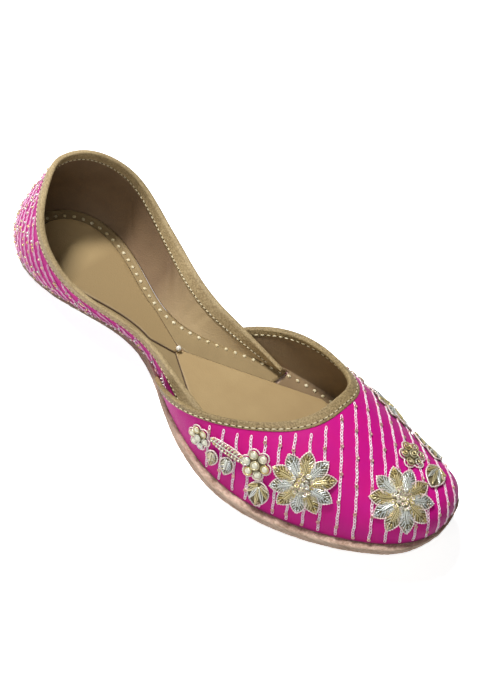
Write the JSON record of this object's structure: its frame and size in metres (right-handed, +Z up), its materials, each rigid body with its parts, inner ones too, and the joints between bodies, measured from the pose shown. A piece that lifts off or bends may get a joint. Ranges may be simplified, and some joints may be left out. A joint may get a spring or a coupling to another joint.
{
  "type": "jutti",
  "caption": "Flat slip-on leather jutti for the right foot, with a silk vamp and quarter, leather bindings and raised metal thread flowers.",
  "frame": {"origin": "on the underside of the outsole, halfway along its length, at the middle of the heel's line", "axes": "+X towards the toe, +Y towards the inner side of the foot (the wearer's left), +Z up"},
  "size_m": [0.25, 0.0871, 0.055],
  "materials": {
    "sole_leather": "natural vegetable tanned sole leather with a raw edge",
    "insole_board": "unfinished leather board, hidden",
    "sock_leather": "smooth tan leather",
    "binding_leather": "golden beige leather, stitched along its edge",
    "magenta_silk": "shot magenta silk with chain stitched lines, tan leather lining",
    "metal_embroidery": "silver and pale gold coiled metal thread and round stones",
    "cotton_thread": "off-white knotted cotton"
  },
  "bodies": {
    "root": {"outsole": "sole_leather", "insole": "insole_board", "heel_sock": "sock_leather", "forepart_sock": "sock_leather", "waist_knot": "cotton_thread", "quarter": "magenta_silk", "quarter_binding": "binding_leather", "vamp": "magenta_silk", "vamp_binding": "binding_leather", "stone_flower_back_outer": "metal_embroidery", "stone_flower_back_inner": "metal_embroidery", "stem_outer": "metal_embroidery", "stem_inner": "metal_embroidery", "leaf_back_outer": "metal_embroidery", "leaf_back_inner": "metal_embroidery", "leaf_middle_outer": "metal_embroidery", "leaf_middle_inner": "metal_embroidery", "stone_flower_middle_outer": "metal_embroidery", "stone_flower_middle_inner": "metal_embroidery", "leaf_front_outer": "metal_embroidery", "leaf_front_inner": "metal_embroidery", "flower_side_outer": "metal_embroidery", "flower_side_inner": "metal_embroidery", "flower_toe": "metal_embroidery", "stone_flower_toe": "metal_embroidery", "leaf_toe": "metal_embroidery", "leaf_toe_back": "metal_embroidery", "leaf_toe_front": "metal_embroidery"}
  },
  "joints": []
}
